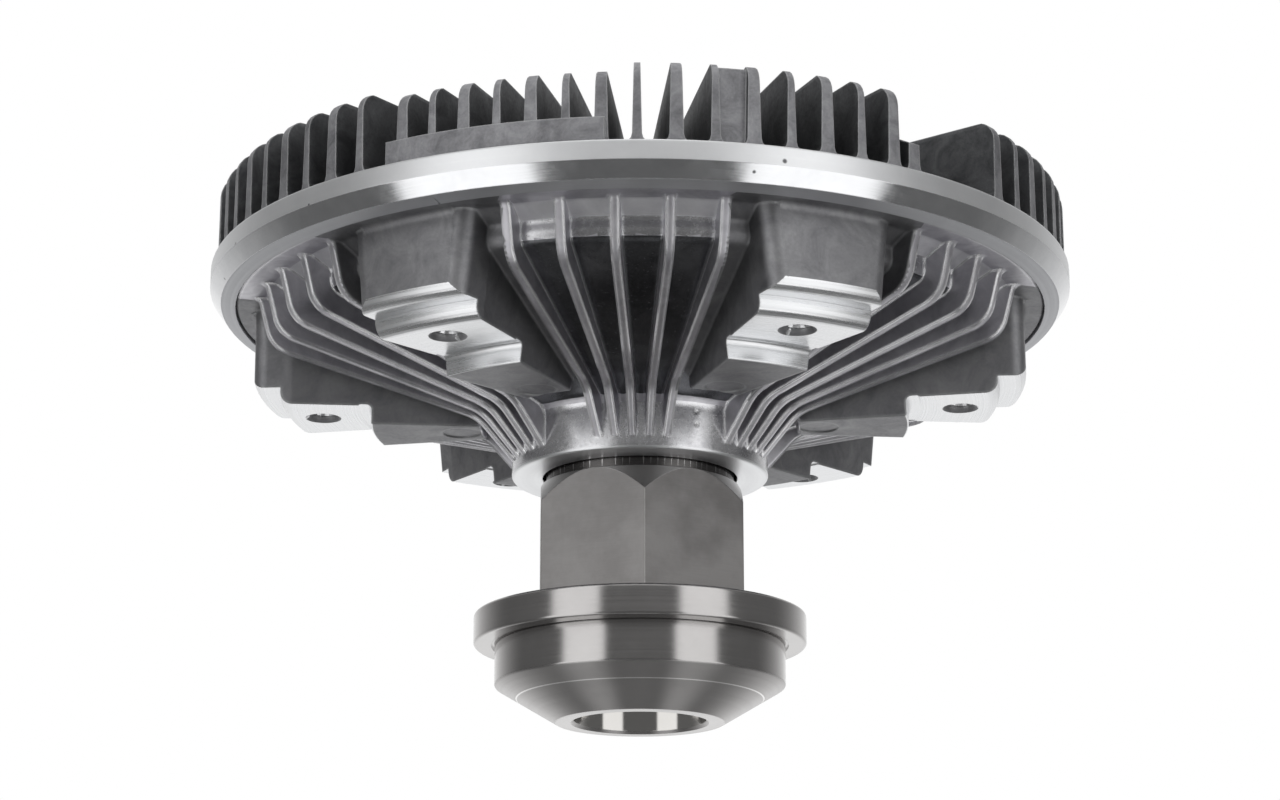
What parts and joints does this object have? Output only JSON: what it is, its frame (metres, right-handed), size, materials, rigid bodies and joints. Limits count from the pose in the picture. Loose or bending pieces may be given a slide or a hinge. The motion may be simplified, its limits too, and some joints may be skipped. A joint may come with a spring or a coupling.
{
  "type": "viscous fan clutch",
  "caption": "Viscous fan clutch: finned cover rolled over a ribbed housing with fan bosses, on a bearing round a flanged hexagon shaft, with a bimetal valve.",
  "frame": {"origin": "centre of the seat face of the shaft's flange, on the spin axis", "axes": "+Z along the spin axis from the shaft's nose to the finned cover; the wide gap between the fins lies between +X and -Y"},
  "size_m": [0.254, 0.254, 0.1574],
  "materials": {
    "turned_steel": "turned, fine circular tool marks",
    "bearing_steel": "ground and polished",
    "machined_aluminium": "turned",
    "cast_aluminium": "die-cast, with bright machined faces",
    "cast_aluminium_dark": "die-cast and blasted, with a bright turned rim",
    "polyamide": "moulded",
    "nitrile_rubber": "moulded",
    "spring_steel": "phosphated",
    "sheet_steel": "rolled sheet",
    "zinc_plated_steel": "zinc plated",
    "phenolic": "machined",
    "bimetal": "rolled strip, heat tinted"
  },
  "bodies": {
    "input": {"drive_shaft": "turned_steel", "bearing_inner_ring": "bearing_steel", "rotor": "machined_aluminium"},
    "ball_set": {"bearing_balls": "bearing_steel", "bearing_cage": "polyamide"},
    "casing": {"rear_housing": "cast_aluminium", "front_cover": "cast_aluminium_dark", "cover_seal_ring": "nitrile_rubber", "bearing_outer_ring": "bearing_steel", "bearing_retaining_ring": "spring_steel", "bearing_rear_seal": "nitrile_rubber", "bearing_front_seal": "nitrile_rubber", "separator_plate": "sheet_steel", "separator_screws": "zinc_plated_steel", "pump_wiper": "phenolic", "fill_plug": "zinc_plated_steel", "bimetal_coil": "bimetal"},
    "valve": {"valve_spindle": "turned_steel", "valve_arm": "sheet_steel", "spindle_seal": "nitrile_rubber", "spindle_clip": "spring_steel"}
  },
  "joints": [
    {"name": "casing_spin", "type": "hinge", "parent": "input", "child": "casing", "pos_m": [0, 0, 0.081], "axis": [0, 0, 1], "continuous": true},
    {"name": "ball_set_spin", "type": "hinge", "parent": "input", "child": "ball_set", "pos_m": [0, 0, 0.081], "axis": [0, 0, 1], "continuous": true},
    {"name": "valve_turn", "type": "hinge", "parent": "casing", "child": "valve", "pos_m": [0, 0, 0.117], "axis": [0, 0, 1], "range_deg": [0, 28], "stiffness_Nm_per_rad": 0.05, "deforming": ["bimetal_coil"]}
  ],
  "couplings": [
    {"joint": "ball_set_spin", "follows": "casing_spin", "ratio": 0.59769}
  ]
}
